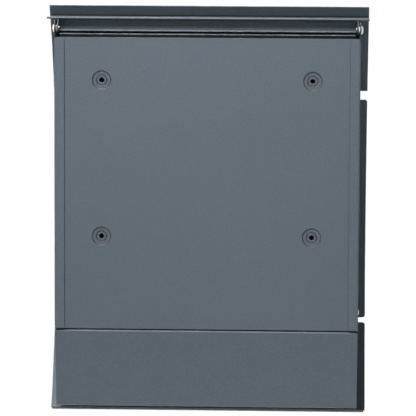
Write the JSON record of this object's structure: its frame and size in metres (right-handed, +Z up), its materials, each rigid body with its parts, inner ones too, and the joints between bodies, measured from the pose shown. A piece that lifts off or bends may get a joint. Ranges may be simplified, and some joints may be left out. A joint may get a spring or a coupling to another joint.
{
  "type": "wall mounted mailbox",
  "caption": "Wall mounted sheet-steel mailbox with a bowed front, a lift-up mail flap, a lockable drop-down door and an open newspaper holder below.",
  "frame": {"origin": "centre of the four wall screw holes, on the rear face of the back panel; the side panels' rear flanges touch the wall 1.3 mm behind it", "axes": "+Y towards the wall, +Z up, +X to the right as seen from the front; the bowed front faces -Y"},
  "size_m": [0.322, 0.0963, 0.4133],
  "materials": {
    "powder_coat": "fine texture, matte anthracite powder coat",
    "nylon": "smooth natural nylon",
    "rubber": "soft black rubber",
    "zinc_steel": "bright zinc plate",
    "chrome": "satin nickel-chrome plate"
  },
  "bodies": {
    "case": {"back_panel": "powder_coat", "right_side_panel": "powder_coat", "left_side_panel": "powder_coat", "rear_rail": "powder_coat", "front_cross_rail": "powder_coat", "case_floor": "powder_coat", "holder_sheet": "powder_coat", "holder_apron": "powder_coat", "right_flap_bush": "nylon", "right_door_bush": "nylon", "right_flap_bumper": "rubber", "right_rear_holder_screw": "zinc_steel", "right_rear_holder_nut": "zinc_steel", "right_front_holder_screw": "zinc_steel", "right_front_holder_nut": "zinc_steel", "left_flap_bush": "nylon", "left_door_bush": "nylon", "left_flap_bumper": "rubber", "left_rear_holder_screw": "zinc_steel", "left_rear_holder_nut": "zinc_steel", "left_front_holder_screw": "zinc_steel", "left_front_holder_nut": "zinc_steel"},
    "flap": {"flap_plate": "powder_coat", "flap_roof": "powder_coat", "flap_hinge_strip": "powder_coat", "right_flap_pin": "zinc_steel", "left_flap_pin": "zinc_steel"},
    "door": {"door_plate": "powder_coat", "right_door_bracket": "powder_coat", "left_door_bracket": "powder_coat", "right_door_pin": "zinc_steel", "left_door_pin": "zinc_steel", "lock_body": "chrome", "lock_washer": "zinc_steel", "lock_nut": "zinc_steel"},
    "lock": {"lock_plug": "chrome", "lock_cam": "zinc_steel", "lock_cam_screw": "zinc_steel"}
  },
  "joints": [
    {"name": "flap_hinge", "type": "hinge", "parent": "case", "child": "flap", "pos_m": [0, -0.008, 0.129], "axis": [-1, 0, 0], "range_deg": [0, 60]},
    {"name": "door_hinge", "type": "hinge", "parent": "case", "child": "door", "pos_m": [0, -0.075, -0.163], "axis": [1, 0, 0], "range_deg": [0, 90]},
    {"name": "lock_turn", "type": "hinge", "parent": "door", "child": "lock", "pos_m": [0, -0.08437, 0.033], "axis": [0, -0.9753, 0.2208], "range_deg": [0, 90]}
  ]
}
